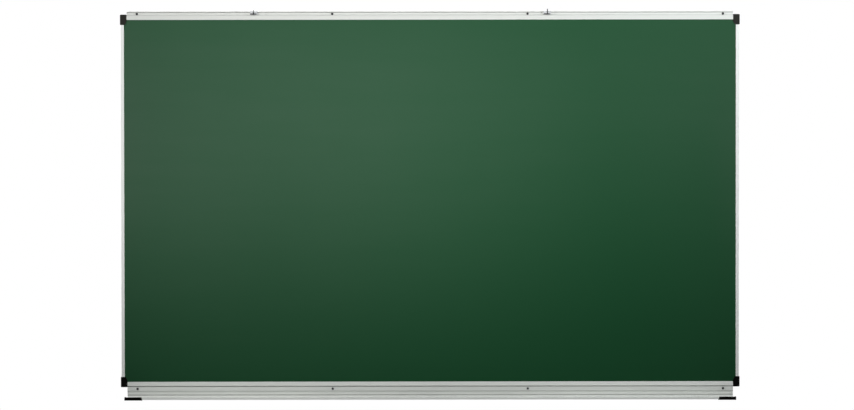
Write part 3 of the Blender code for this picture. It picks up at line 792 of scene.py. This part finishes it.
def clean(shape: Shape) -> None:
    """Joins points that coincide and takes out faces without area."""
    bmesh.ops.remove_doubles(shape, verts=shape.verts, dist=JOINED_WITHIN)
    bmesh.ops.dissolve_degenerate(shape, edges=shape.edges, dist=JOINED_WITHIN)


def evenly_shaded(mesh: Mesh) -> Mesh:
    """Shades a mesh's large faces flat, so that only the roundings between them vary.

    Args:
        mesh: The mesh, with its corners marked.

    Returns:
        The mesh that takes its place.
    """
    item = linked(mesh.name, mesh)
    modifier = item.modifiers.new("even_shading", "WEIGHTED_NORMAL")
    modifier.keep_sharp = True
    modifier.weight = LARGE_FACES
    return settled_mesh(item, mesh.name)


def ease_edges(shape: Shape, width: float, segments: int) -> None:
    """Rounds every outer edge that is sharp.

    Args:
        shape: Closed shape with its faces outwards.
        width: How far the rounding reaches from each edge.
        segments: Steps across the rounding.
    """
    whole = [edge for edge in shape.edges if edge.is_manifold]
    sharp = [edge for edge in whole if edge.calc_face_angle_signed(0.0) > EASED_PAST]
    bmesh.ops.bevel(
        shape, geom=sharp, offset=width, offset_type="OFFSET", segments=segments, profile=0.5,
        affect="EDGES", clamp_overlap=True,
    )
    clean(shape)


def merged_copy(node: Item) -> Shape:
    """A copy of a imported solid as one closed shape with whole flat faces.

    Args:
        node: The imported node.

    Returns:
        The shape.
    """
    shape = bmesh.new()
    shape.from_mesh(node.data)
    clean(shape)
    bmesh.ops.dissolve_limit(
        shape, angle_limit=FLAT_WITHIN, verts=shape.verts, edges=shape.edges,
    )
    return shape


@dataclass
class Part:
    """What every sub-assembly has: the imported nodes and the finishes."""

    nodes: dict[str, Item]
    finishes: Finishes

    def dress(self, node: str, finish: Material) -> None:
        """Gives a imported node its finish.

        Args:
            node: The node's name.
            finish: The material.
        """
        materials = self.nodes[node].data.materials
        materials.clear()
        materials.append(finish)
        LOG.info("dressed %s", node)

    def stand_in(
        self, name: str, mesh: Mesh, finish: Material, slot: Slot, body: str, replaced: list[str],
    ) -> None:
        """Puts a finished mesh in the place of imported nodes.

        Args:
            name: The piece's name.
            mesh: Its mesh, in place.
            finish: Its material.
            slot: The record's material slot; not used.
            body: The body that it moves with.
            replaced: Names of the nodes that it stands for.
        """
        mesh.materials.clear()
        mesh.materials.append(finish)
        piece = linked(name, mesh)
        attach(piece, body)
        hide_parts(*replaced)
        LOG.info("made %s for %s: %d faces", name, ", ".join(replaced), len(mesh.polygons))

    def eased(
        self, node: str, finish: Material, slot: Slot, width: float = 0.0,
        segments: int = 1, body: str = BOARD, corner: float = SHARP_CORNER,
    ) -> None:
        """Replaces a node by a copy with rounded edges.

        Args:
            node: The node's name.
            finish: The material.
            slot: The record's material slot.
            width: Reach of the rounding; at zero the faces are only joined and smoothed.
            segments: Steps across the rounding.
            body: The body that it moves with.
            corner: Degrees from which a corner stays sharp.
        """
        shape = merged_copy(self.nodes[node])
        if width > 0.0:
            ease_edges(shape, width, segments)
        mesh = evenly_shaded(mesh_from(shape, node, corner))
        self.stand_in(f"{node}_eased", mesh, finish, slot, body, [node])


@dataclass
class WritingPanel(Part):
    """Face sheet, core and backing."""

    def build(self) -> None:
        """Dresses the three layers."""
        self.dress("face_sheet", self.finishes.coat)
        self.dress("core_board", self.finishes.core)
        self.dress("back_sheet", self.finishes.zinc)


@dataclass
class FrameBars(Part):
    """Top rail, bottom rail and the two stiles."""

    def build(self) -> None:
        """Replaces the bars by copies with joined faces, each with die lines along its length."""
        bars = {
            "top_rail": self.finishes.rail,
            "bottom_rail": self.finishes.sill,
            "left_stile": self.finishes.stile,
            "right_stile": self.finishes.stile,
        }
        for node, finish in bars.items():
            self.eased(node, finish, Slot.SILVER)


@dataclass
class CornerCaps(Part):
    """The four moulded caps on the frame's corners."""

    edge_round: float = 0.0007
    steps: int = 4

    def build(self) -> None:
        """Replaces each cap by a copy with moulded edges."""
        for end in ("top", "bottom"):
            for side in ("left", "right"):
                self.eased(
                    f"corner_cap_{end}_{side}", self.finishes.plastic, Slot.PLASTIC,
                    self.edge_round, self.steps,
                )


@dataclass
class ChalkTray(Part):
    """The tray extrusion and its two end caps."""

    cap_round: float = 0.00035
    steps: int = 3
    sharp_bend: float = 18.0

    def build(self) -> None:
        """Replaces the tray and its caps by copies with joined faces and moulded edges."""
        self.eased("chalk_tray", self.finishes.tray, Slot.SILVER, corner=self.sharp_bend)
        for side in ("left", "right"):
            self.eased(
                f"tray_cap_{side}", self.finishes.plastic, Slot.PLASTIC, self.cap_round, self.steps,
            )


@dataclass
class WallBrackets(Part):
    """The four bent brackets between the top flange and the wall."""

    edge_round: float = 0.00005
    steps: int = 2
    count: int = 4

    def build(self) -> None:
        """Replaces each bracket by a copy with broken edges."""
        for number in range(1, self.count + 1):
            self.eased(
                f"wall_bracket_{number}", self.finishes.zinc, Slot.ZINC,
                self.edge_round, self.steps,
            )


class Recipe:
    """A Geometry Nodes tree under construction, with named inputs."""

    def __init__(self, name: str, **kinds: str) -> None:
        """Starts a tree that takes and gives geometry.

        Args:
            name: The tree's name.
            **kinds: Kind of each named input, with underscores for spaces in the name.
        """
        self.tree = bpy.data.node_groups.new(name, "GeometryNodeTree")
        self.sockets: dict[str, Any] = {}
        self.tree.interface.new_socket(
            "Geometry", in_out="OUTPUT", socket_type="NodeSocketGeometry",
        )
        self.start = self.tree.nodes.new("NodeGroupInput")
        self.end = self.tree.nodes.new("NodeGroupOutput")
        for label, kind in {"Geometry": "Geometry", **kinds}.items():
            self.takes(label.replace("_", " "), f"NodeSocket{kind}")

    def takes(self, name: str, kind: str) -> None:
        """Adds a named input of the given socket kind."""
        made = self.tree.interface.new_socket(name, in_out="INPUT", socket_type=kind)
        self.sockets[name] = made

    def given(self, name: str) -> Socket:
        """The socket inside the tree that carries a named input."""
        return self.start.outputs[name]

    def node(self, kind: str, **inputs: Any) -> bpy.types.Node:
        """Adds a node.

        Args:
            kind: Blender's name of the node.
            **inputs: Plain values or sockets, named with underscores for spaces.

        Returns:
            The node.
        """
        made = self.tree.nodes.new(kind)
        for name, value in inputs.items():
            label = name.replace("_", " ")
            target = next(s for s in made.inputs if s.enabled and s.name == label)
            if isinstance(value, Socket):
                self.tree.links.new(value, target)
            else:
                target.default_value = value
        return made

    def finish(self, geometry: Socket) -> None:
        """Ends the tree: instances become plain mesh and take the finish.

        Args:
            geometry: The geometry to give out.
        """
        whole = self.node("GeometryNodeRealizeInstances", Geometry=geometry)
        dressed = self.node(
            "GeometryNodeSetMaterial", Geometry=whole.outputs[0], Material=self.given("Finish"),
        )
        self.tree.links.new(dressed.outputs[0], self.end.inputs[0])

    def run(self, base: Mesh, name: str, **values: Any) -> Mesh:
        """Runs the tree on a mesh.

        Args:
            base: Mesh that the tree takes.
            name: Name of the new mesh.
            **values: A value for each named input, with underscores for spaces.

        Returns:
            The plain mesh that the tree gives.
        """
        item = linked(name, base)
        modifier = item.modifiers.new(self.tree.name, "NODES")
        modifier.node_group = self.tree
        for label, value in values.items():
            modifier[self.sockets[label.replace("_", " ")].identifier] = value
        return settled_mesh(item, name)


def points_mesh(name: str, points: list[Vector], path: bool = False) -> Mesh:
    """A mesh of bare points, or of a path through them.

    Args:
        name: The mesh's name.
        points: The points.
        path: Whether edges join one point to the next.

    Returns:
        The mesh.
    """
    edges = [(index, index + 1) for index in range(len(points) - 1)] if path else []
    mesh = bpy.data.meshes.new(name)
    mesh.from_pydata([tuple(point) for point in points], edges, [])
    return mesh


def boolean_mesh(target: Item, tool: Item, operation: str, name: str) -> Mesh:
    """Cuts or joins two closed objects and removes both.

    Args:
        target: Object that is cut or grown.
        tool: Object that cuts or is added.
        operation: Blender's name of the operation.
        name: Name of the new mesh.

    Returns:
        The result.
    """
    modifier = target.modifiers.new(operation.lower(), "BOOLEAN")
    modifier.operation = operation
    modifier.solver = "MANIFOLD"
    modifier.object = tool
    mesh = settled_mesh(target, name)
    bpy.data.objects.remove(tool, do_unlink=True)
    return mesh


def in_order(shape: Shape) -> Shape:
    """Puts a shape's points and faces in one order, because a cut leaves them in any.

    Args:
        shape: The shape, which is freed.

    Returns:
        The same shape, in order.
    """
    points = sorted(shape.verts, key=lambda point: tuple(point.co))
    places = {point: place for place, point in enumerate(points)}
    rings = []
    for face in shape.faces:
        ring = [places[point] for point in face.verts]
        first = ring.index(min(ring))
        rings.append(ring[first:] + ring[:first])
    ordered = bmesh.new()
    verts = [ordered.verts.new(point.co) for point in points]
    for ring in sorted(rings):
        ordered.faces.new([verts[place] for place in ring])
    shape.free()
    return ordered


class HeadShape(Enum):
    """The two kinds of screw head."""

    PAN = "pan"
    COUNTERSUNK = "countersunk"


@dataclass
class Screws(Part):
    """Top screws, tray screws and corner screws, each row laid out by Geometry Nodes."""

    head_diameter: float = 0.0056
    head_height: float = 0.0022
    rim_height: float = 0.0007
    sink_depth: float = 0.0014
    pan_shank: float = 0.0030
    sunk_shank: float = 0.0026
    tip: float = 0.0010
    recess_span: float = 0.0036
    recess_width: float = 0.0009
    recess_depth: float = 0.0012
    sides: int = 40
    dome_steps: int = 9
    count: int = 4
    seed: int = 11

    def build(self) -> None:
        """Makes the three rows."""
        recipe = self.recipe()
        numbers = range(1, self.count + 1)
        corners = [f"{end}_{side}" for end in ("top", "bottom") for side in ("left", "right")]
        rows = (
            ("top_screw", numbers, HeadShape.PAN),
            ("tray_screw", numbers, HeadShape.PAN),
            ("corner_screw", corners, HeadShape.COUNTERSUNK),
        )
        for seed, (name, places, head) in enumerate(rows, start=self.seed):
            self.row(recipe, f"{name}s", [f"{name}_{place}" for place in places], head, seed)

    def recipe(self) -> Recipe:
        """Builds the tree that sets a screw on each point, turned by chance about its own axis.

        Returns:
            The tree.
        """
        recipe = Recipe(
            "screw_row", Screw="Object", Facing="Float", Seed="Int", Finish="Material",
        )
        screw = recipe.node(
            "GeometryNodeObjectInfo", Object=recipe.given("Screw"), As_Instance=True,
        )
        spin = recipe.node(
            "FunctionNodeRandomValue", Min=0.0, Max=QUARTER_TURN, Seed=recipe.given("Seed"),
        )
        chance = next(s for s in spin.outputs if s.enabled)
        turn = recipe.node("ShaderNodeCombineXYZ", X=recipe.given("Facing"), Y=chance)
        rows = recipe.node(
            "GeometryNodeInstanceOnPoints", Points=recipe.given("Geometry"),
            Instance=screw.outputs["Geometry"], Rotation=turn.outputs[0],
        )
        recipe.finish(rows.outputs[0])
        return recipe

    def row(
        self, recipe: Recipe, name: str, replaced: list[str], head: HeadShape, seed: int,
    ) -> None:
        """Makes one row of screws in the place of its nodes.

        Args:
            recipe: The tree that lays out a row.
            name: The row's name.
            replaced: Nodes that the row stands for.
            head: Kind of head.
            seed: Seed of the turns.
        """
        boxes = [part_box(node) for node in replaced]
        length = boxes[0][1].y - boxes[0][0].y
        middles = [(low + high) / 2 for low, high in boxes]
        if head is HeadShape.PAN:
            depths = [low.y + self.head_height for low, _ in boxes]
            template = self.one_screw(self.pan_profile(length - self.head_height), self.head_height)
            facing = QUARTER_TURN
        else:
            depths = [high.y for _, high in boxes]
            template = self.one_screw(self.sunk_profile(length), 0.0)
            facing = -QUARTER_TURN
        seats = [Vector((middle.x, depth, middle.z)) for middle, depth in zip(middles, depths)]
        mesh = recipe.run(
            points_mesh(f"{name}_seats", seats), name, Screw=template, Facing=facing, Seed=seed,
            Finish=self.finishes.screw,
        )
        bpy.data.objects.remove(template, do_unlink=True)
        self.stand_in(name, mesh, self.finishes.screw, Slot.SCREW, BOARD, replaced)

    def pan_profile(self, length: float) -> list[Pair]:
        """Half section of a pan-head screw from its crown to its tip.

        Args:
            length: Length under the head.

        Returns:
            The points, each a radius and a height above the seat.
        """
        radius = self.head_diameter / 2
        dome = self.head_height - self.rim_height
        crown = []
        for step in range(self.dome_steps + 1):
            angle = QUARTER_TURN * (1 - step / self.dome_steps)
            crown.append((radius * math.cos(angle), self.rim_height + dome * math.sin(angle)))
        crown[0] = (0.0, self.head_height)
        shank = self.pan_shank / 2
        stem = [(shank, 0.0), (shank, self.tip - length), (0.0, -length)]
        return [*crown, (radius, 0.0), *stem]

    def sunk_profile(self, length: float) -> list[Pair]:
        """Half section of a countersunk screw from its flat to its tip.

        Args:
            length: Length from the flat.

        Returns:
            The points, each a radius and a height above the flat.
        """
        shank = self.sunk_shank / 2
        stem = [(shank, -self.sink_depth), (shank, self.tip - length), (0.0, -length)]
        return [(0.0, 0.0), (self.head_diameter / 2, 0.0), *stem]

    def one_screw(self, profile: list[Pair], top: float) -> Item:
        """Turns a profile about Z and cuts the cross recess.

        Args:
            profile: Half section, both ends on the axis.
            top: Height that the recess is cut from.

        Returns:
            The screw, to be laid out in rows.
        """
        shape = bmesh.new()
        verts = [shape.verts.new((radius, 0.0, height)) for radius, height in profile]
        edges = [shape.edges.new(pair) for pair in zip(verts, verts[1:])]
        bmesh.ops.spin(
            shape, geom=verts + edges, cent=ORIGIN, axis=(0.0, 0.0, 1.0), angle=2 * math.pi,
            steps=self.sides,
        )
        clean(shape)
        bmesh.ops.recalc_face_normals(shape, faces=shape.faces)
        blank = linked("screw_blank", mesh_from(shape, "screw_blank"))
        cut_mesh = boolean_mesh(blank, self.recess_cutter(top), "DIFFERENCE", "screw")
        cut_shape = bmesh.new()
        cut_shape.from_mesh(cut_mesh)
        clean(cut_shape)
        return linked("screw", mesh_from(in_order(cut_shape), "screw"))

    def recess_cutter(self, top: float) -> Item:
        """A cross-shaped prism that cuts the recess.

        Args:
            top: Height that the recess is cut from.

        Returns:
            The cutter.
        """
        reach = self.recess_span / 2
        half = self.recess_width / 2
        quarter = [Vector((x, y, 0.0)) for x, y in ((reach, half), (half, half), (half, reach))]
        turns = [Matrix.Rotation(QUARTER_TURN * step, 3, "Z") for step in range(4)]
        outline = [turn @ point for turn in turns for point in quarter]
        shape = bmesh.new()
        low = [shape.verts.new((x, y, top - self.recess_depth)) for x, y, _ in outline]
        high = [shape.verts.new((x, y, top + self.recess_depth)) for x, y, _ in outline]
        shape.faces.new(low[::-1])
        shape.faces.new(high)
        for index in range(len(outline)):
            shape.faces.new((low[index - 1], low[index], high[index], high[index - 1]))
        return linked("recess_cutter", mesh_from(shape, "recess_cutter"))


@dataclass
class MapHooks(Part):
    """The two map hooks: a sheet clip on the bead, and a bent prong on a foot bar."""

    wire_diameter: float = 0.0024
    bend_radius: float = 0.0032
    foot_height: float = 0.0030
    foot_thickness: float = 0.0020
    off_middle: float = 0.0011
    edge_round: float = 0.0004
    edge_steps: int = 3
    clip_round: float = 0.00016
    clip_steps: int = 2
    wire_sides: int = 28
    bend_steps: int = 14

    def build(self) -> None:
        """Makes both hooks."""
        recipe = self.recipe()
        for side in HookSide:
            self.eased(
                f"{side.value}_clip", self.finishes.zinc, Slot.ZINC, self.clip_round,
                self.clip_steps, side.value,
            )
            self.prong(recipe, side)

    def recipe(self) -> Recipe:
        """Builds the tree that bends a round wire along a path.

        Returns:
            The tree.
        """
        recipe = Recipe(
            "bent_wire", Wire_Radius="Float", Bend_Radius="Float", Bend_Steps="Int", Sides="Int",
            Finish="Material",
        )
        line = recipe.node("GeometryNodeMeshToCurve", Mesh=recipe.given("Geometry"))
        bent = recipe.node("GeometryNodeFilletCurve", Curve=line.outputs[0])
        bent.mode = "POLY"
        for target, source in (("Radius", "Bend Radius"), ("Count", "Bend Steps")):
            recipe.tree.links.new(recipe.given(source), bent.inputs[target])
        ring = recipe.node(
            "GeometryNodeCurvePrimitiveCircle", Resolution=recipe.given("Sides"),
            Radius=recipe.given("Wire Radius"),
        )
        wire = recipe.node(
            "GeometryNodeCurveToMesh", Curve=bent.outputs[0], Profile_Curve=ring.outputs[0],
            Fill_Caps=True,
        )
        recipe.finish(wire.outputs[0])
        return recipe

    def prong(self, recipe: Recipe, side: HookSide) -> None:
        """Makes one prong: its foot bar with the bent wire joined to it.

        Args:
            recipe: The tree that bends the wire.
            side: Which hook.
        """
        node = f"{side.value}_prong"
        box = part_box(node)
        wire = self.wire(recipe, node, *box)
        joined = boolean_mesh(self.foot(node, *box), wire, "UNION", node)
        smooth_by_angle(joined)
        self.stand_in(
            f"{node}_bent", joined, self.finishes.prong, Slot.PRONG, side.value, [node],
        )

    def wire(self, recipe: Recipe, node: str, low: Vector, high: Vector) -> Item:
        """Bends the wire that goes out of the foot bar and up.

        Args:
            recipe: The tree that bends the wire.
            node: The prong's node.
            low: Lowest corner of the node.
            high: Highest corner of the node.

        Returns:
            The wire.
        """
        middle = (low.z * 2 + self.foot_height) / 2
        x = (low.x + high.x) / 2 + self.off_middle
        upright = low.y + self.wire_diameter / 2
        route = [
            Vector((x, high.y - self.foot_thickness / 2, middle)),
            Vector((x, upright, middle)),
            Vector((x, upright, high.z)),
        ]
        mesh = recipe.run(
            points_mesh(f"{node}_route", route, path=True), f"{node}_wire",
            Wire_Radius=self.wire_diameter / 2, Bend_Radius=self.bend_radius,
            Bend_Steps=self.bend_steps, Sides=self.wire_sides, Finish=self.finishes.prong,
        )
        shape = bmesh.new()
        shape.from_mesh(mesh)
        ease_edges(shape, self.edge_round, self.edge_steps)
        return linked(f"{node}_wire", mesh_from(shape, f"{node}_wire"))

    def foot(self, node: str, low: Vector, high: Vector) -> Item:
        """Makes the foot bar at the back of the prong.

        Args:
            node: The prong's node.
            low: Lowest corner of the node.
            high: Highest corner of the node.

        Returns:
            The foot bar.
        """
        foot_low = Vector((low.x, high.y - self.foot_thickness, low.z))
        foot_high = Vector((high.x, high.y, low.z + self.foot_height))
        place = Matrix.Translation((foot_low + foot_high) / 2)
        size = Matrix.Diagonal((*(foot_high - foot_low), 1.0))
        shape = bmesh.new()
        bmesh.ops.create_cube(shape, size=1.0, matrix=place @ size)
        ease_edges(shape, self.edge_round, self.edge_steps)
        return linked(f"{node}_foot", mesh_from(shape, f"{node}_foot"))


# Light of the lamps on the right, next to the white of the others.
COOLER = (0.955, 1.012, 1.045)


@dataclass(frozen=True)
class SoftBox:
    """A rectangular lamp that looks at a point."""

    name: str
    place: Triple
    aim: Triple
    width: float
    height: float
    watts: float
    tint: Triple = (1.0, 1.0, 1.0)

    def build(self) -> None:
        """Adds the lamp."""
        lamp = bpy.data.lights.new(self.name, "AREA")
        lamp.shape = "RECTANGLE"
        lamp.size = self.width
        lamp.size_y = self.height
        lamp.energy = self.watts
        lamp.color = self.tint
        item = bpy.data.objects.new(self.name, lamp)
        item.location = self.place
        look = Vector(self.aim) - Vector(self.place)
        item.rotation_euler = look.to_track_quat("-Z", "Y").to_euler()
        item.visible_camera = False
        bpy.context.scene.collection.objects.link(item)


@dataclass(frozen=True)
class Viewpoint:
    """Where the camera stands and looks."""

    place: Triple = (-0.0158, -6.0060, -0.3825)
    aim: Triple = (-0.0075, -0.0200, -0.4567)
    roll: float = math.radians(-0.066)
    lens: float = 103.63
    sensor: float = 36.0

    def build(self) -> None:
        """Adds the camera and makes it the scene's own."""
        data = bpy.data.cameras.new("viewpoint")
        data.lens = self.lens
        data.sensor_width = self.sensor
        camera = bpy.data.objects.new("viewpoint", data)
        camera.location = self.place
        camera.rotation_mode = "QUATERNION"
        look = (Vector(self.aim) - Vector(self.place)).to_track_quat("-Z", "Y")
        camera.rotation_quaternion = look @ Quaternion((0.0, 0.0, 1.0), self.roll)
        bpy.context.scene.collection.objects.link(camera)
        bpy.context.scene.camera = camera


@dataclass
class Studio:
    """Floor, lamps, surroundings and camera."""

    floor_height: float = -1.75
    floor_size: float = 5.0
    floor_steps: int = 8
    fill: float = 0.01
    lamps: tuple[SoftBox, ...] = (
        SoftBox("front_box", (0.0, -0.90, -0.40), (0.0, 0.0, 0.40), 0.5, 0.4, 4.2),
        SoftBox("left_box", (-1.44, -1.0, 0.26), (-0.51, -1.13, 0.60), 0.10, 0.10, 20.0),
        SoftBox("right_box", (1.44, -1.0, 0.26), (0.50, -0.92, 0.60), 0.10, 0.10, 18.6, COOLER),
        SoftBox("low_left_box", (-0.95, -0.50, -0.45), (-0.01, -0.42, -0.79), 0.3, 0.5, 1.47),
        SoftBox(
            "low_right_box", (0.95, -0.50, -0.45), (0.01, -0.42, -0.79), 0.3, 0.5, 0.61, COOLER,
        ),
        SoftBox("top_box", (0.0, -0.70, 1.30), (0.0, -0.05, -0.30), 2.2, 0.6, 1.5),
        SoftBox("back_box", (0.0, 2.40, -0.20), (0.0, 0.20, -0.50), 2.4, 1.4, 10.0),
        SoftBox("loft_box", (0.0, 1.50, 2.50), (0.0, 0.40, -1.75), 3.0, 2.0, 110.0),
    )
    viewpoint: Viewpoint = Viewpoint()

    def build(self) -> None:
        """Sets up the studio."""
        bpy.context.scene.view_settings.view_transform = "Standard"
        self.floor()
        self.surroundings()
        for lamp in self.lamps:
            lamp.build()
        self.viewpoint.build()
        LOG.info("set up the studio with %d lamps", len(self.lamps))

    def floor(self) -> None:
        """Lays the floor well under the board and keeps the light that it throws off the board."""
        shape = bmesh.new()
        place = Matrix.Translation((0.0, 0.0, self.floor_height))
        bmesh.ops.create_grid(
            shape, x_segments=self.floor_steps, y_segments=self.floor_steps,
            size=self.floor_size / 2, matrix=place,
        )
        floor = linked("floor", mesh_from(shape, "floor"))
        floor.data.materials.append(PaleFloor().make())
        floor.visible_diffuse = False

    def surroundings(self) -> None:
        """Makes what the camera and mirrors see white, and lights the rest softly."""
        world = bpy.data.worlds.new("surroundings")
        world.use_nodes = True
        bpy.context.scene.world = world
        tree = world.node_tree
        soft = tree.nodes["Background"]
        white = tree.nodes.new("ShaderNodeBackground")
        mix = tree.nodes.new("ShaderNodeMixShader")
        tree.links.new(background_rays(tree), mix.inputs[0])
        for index, (shade, strength) in enumerate(((soft, self.fill), (white, 1.0)), start=1):
            shade.inputs["Color"].default_value = WHITE
            shade.inputs["Strength"].default_value = strength
            tree.links.new(shade.outputs[0], mix.inputs[index])
        tree.links.new(mix.outputs[0], tree.nodes["World Output"].inputs["Surface"])


def main() -> None:
    """Builds every sub-assembly in order, then the studio."""
    logging.basicConfig(level=logging.INFO, format="%(message)s")
    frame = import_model()
    finishes = Finishes()
    assemblies = (
        WritingPanel, FrameBars, CornerCaps, ChalkTray, WallBrackets, Screws, MapHooks,
    )
    for assembly in assemblies:
        assembly(frame["nodes"], finishes).build()
    Studio().build()


if __name__ == "__main__":
    main()
